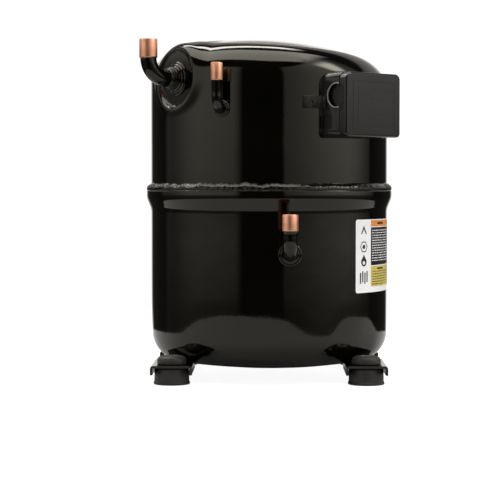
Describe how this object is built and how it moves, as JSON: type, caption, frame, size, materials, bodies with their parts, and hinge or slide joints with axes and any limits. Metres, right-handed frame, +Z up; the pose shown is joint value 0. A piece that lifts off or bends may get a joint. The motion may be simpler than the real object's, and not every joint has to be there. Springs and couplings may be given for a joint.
{
  "type": "hermetic reciprocating compressor",
  "caption": "Hermetic reciprocating refrigeration compressor: steel shell on rubber feet, copper suction, discharge and process stubs, side terminal box, spring-hung pump and motor inside.",
  "frame": {"origin": "centre of the four mounting holes, on the plane that the rubber feet stand on", "axes": "+Z up along the shell's axis, -Y towards the side with the discharge stub, +X to the right of that side, where the terminal box is"},
  "size_m": [0.2562, 0.2788, 0.3426],
  "materials": {
    "black_paint": "gloss black paint over pressed steel",
    "copper": "bare copper with drawing marks",
    "rubber": "moulded black rubber",
    "zinc_steel": "zinc plated",
    "bright_steel": "ground steel",
    "box_plastic": "satin moulded plastic",
    "black_plastic": "moulded black plastic",
    "seal_glass": "fused glass seal",
    "label": "printed plastic film",
    "cast_iron": "machined grey iron",
    "bronze": "bearing bronze",
    "gasket": "pressed fibre sheet",
    "aluminium": "machined",
    "lamination": "stacked electrical steel",
    "enamel_wire": "varnished copper wire",
    "lead_sleeving": "braided sleeving"
  },
  "bodies": {
    "shell": {"upper_shell": "black_paint", "lower_shell": "black_paint", "girth_weld": "black_paint", "foot_brackets": "black_paint", "foot_grommets": "rubber", "foot_sleeves": "zinc_steel", "suction_boss": "black_paint", "suction_tube": "copper", "process_boss": "black_paint", "process_tube": "copper", "discharge_boss": "black_paint", "discharge_tube": "copper", "terminal_box_base": "box_plastic", "conduit_knockout": "box_plastic", "box_strap": "black_paint", "terminal_body": "black_paint", "terminal_pins": "bright_steel", "terminal_glass": "seal_glass", "ground_screw": "zinc_steel", "data_label": "label", "lead_plug": "black_plastic", "spring_seats": "black_paint"},
    "terminal_cover": {"terminal_box_cover": "box_plastic"},
    "pump_and_motor": {"cylinder_block": "cast_iron", "main_bearing": "bronze", "thrust_washer": "bright_steel", "cylinder_sleeves": "cast_iron", "valve_plates": "bright_steel", "head_gaskets": "gasket", "cylinder_heads": "cast_iron", "head_bolts": "zinc_steel", "valve_stops": "bright_steel", "discharge_muffler": "copper", "shock_loop": "copper", "stator_core": "lamination", "stator_winding": "enamel_wire", "motor_bolts": "zinc_steel", "motor_cover": "black_plastic", "overload_protector": "black_plastic", "lead_wires": "lead_sleeving", "suspension_springs": "bright_steel"},
    "rotating_group": {"crankshaft": "bright_steel", "counterweight": "bronze", "oil_pickup": "bright_steel", "rotor_core": "lamination", "rotor_cage": "aluminium"},
    "slider": {"slide_block": "bronze"},
    "plug": {"gallery_plug": "zinc_steel"},
    "piston_group": {"yoke": "aluminium", "piston_rings": "cast_iron"},
    "suction_reed_r": {"suction_reed_right": "bright_steel"},
    "suction_reed_l": {"suction_reed_left": "bright_steel"},
    "discharge_reed_r": {"discharge_reed_right": "bright_steel"},
    "discharge_reed_l": {"discharge_reed_left": "bright_steel"}
  },
  "joints": [
    {"name": "suspension_float", "type": "slide", "parent": "shell", "child": "pump_and_motor", "axis": [0, 0, 1], "range_m": [-0.003, 0.003], "stiffness_N_per_m": 40000, "springref_m": 0.0059, "deforming": ["suspension_springs", "shock_loop", "lead_wires"]},
    {"name": "terminal_cover_lift", "type": "slide", "parent": "shell", "child": "terminal_cover", "axis": [0.682, -0.7314, 0], "range_m": [0, 0.05]},
    {"name": "crank_spin", "type": "hinge", "parent": "pump_and_motor", "child": "rotating_group", "pos_m": [0, 0, 0.1], "axis": [0, 0, 1], "continuous": true},
    {"name": "slider_spin", "type": "hinge", "parent": "rotating_group", "child": "slider", "pos_m": [0, 0.012, 0.1], "axis": [0, 0, 1], "continuous": true},
    {"name": "gallery_plug_spin", "type": "hinge", "parent": "rotating_group", "child": "plug", "pos_m": [0, 0.006, 0.255], "axis": [0, 0, 1], "continuous": true},
    {"name": "piston_stroke", "type": "hinge", "parent": "plug", "child": "piston_group", "pos_m": [0, 0, 0.1], "axis": [0, 0, 1], "continuous": true},
    {"name": "suction_reed_right_lift", "type": "hinge", "parent": "pump_and_motor", "child": "suction_reed_r", "pos_m": [0.07605, 0.008, 0.084], "axis": [0, -1, 0], "range_deg": [0, 6], "stiffness_Nm_per_rad": 0.02},
    {"name": "suction_reed_left_lift", "type": "hinge", "parent": "pump_and_motor", "child": "suction_reed_l", "pos_m": [-0.07605, 0.008, 0.084], "axis": [0, 1, 0], "range_deg": [0, 6], "stiffness_Nm_per_rad": 0.02},
    {"name": "discharge_reed_right_lift", "type": "hinge", "parent": "pump_and_motor", "child": "discharge_reed_r", "pos_m": [0.08275, -0.008, 0.084], "axis": [0, 1, 0], "range_deg": [0, 6], "stiffness_Nm_per_rad": 0.02},
    {"name": "discharge_reed_left_lift", "type": "hinge", "parent": "pump_and_motor", "child": "discharge_reed_l", "pos_m": [-0.08275, -0.008, 0.084], "axis": [0, -1, 0], "range_deg": [0, 6], "stiffness_Nm_per_rad": 0.02}
  ],
  "couplings": [
    {"joint": "slider_spin", "follows": "crank_spin", "ratio": -1},
    {"joint": "gallery_plug_spin", "follows": "crank_spin", "ratio": -2},
    {"joint": "piston_stroke", "follows": "crank_spin", "ratio": 1}
  ]
}
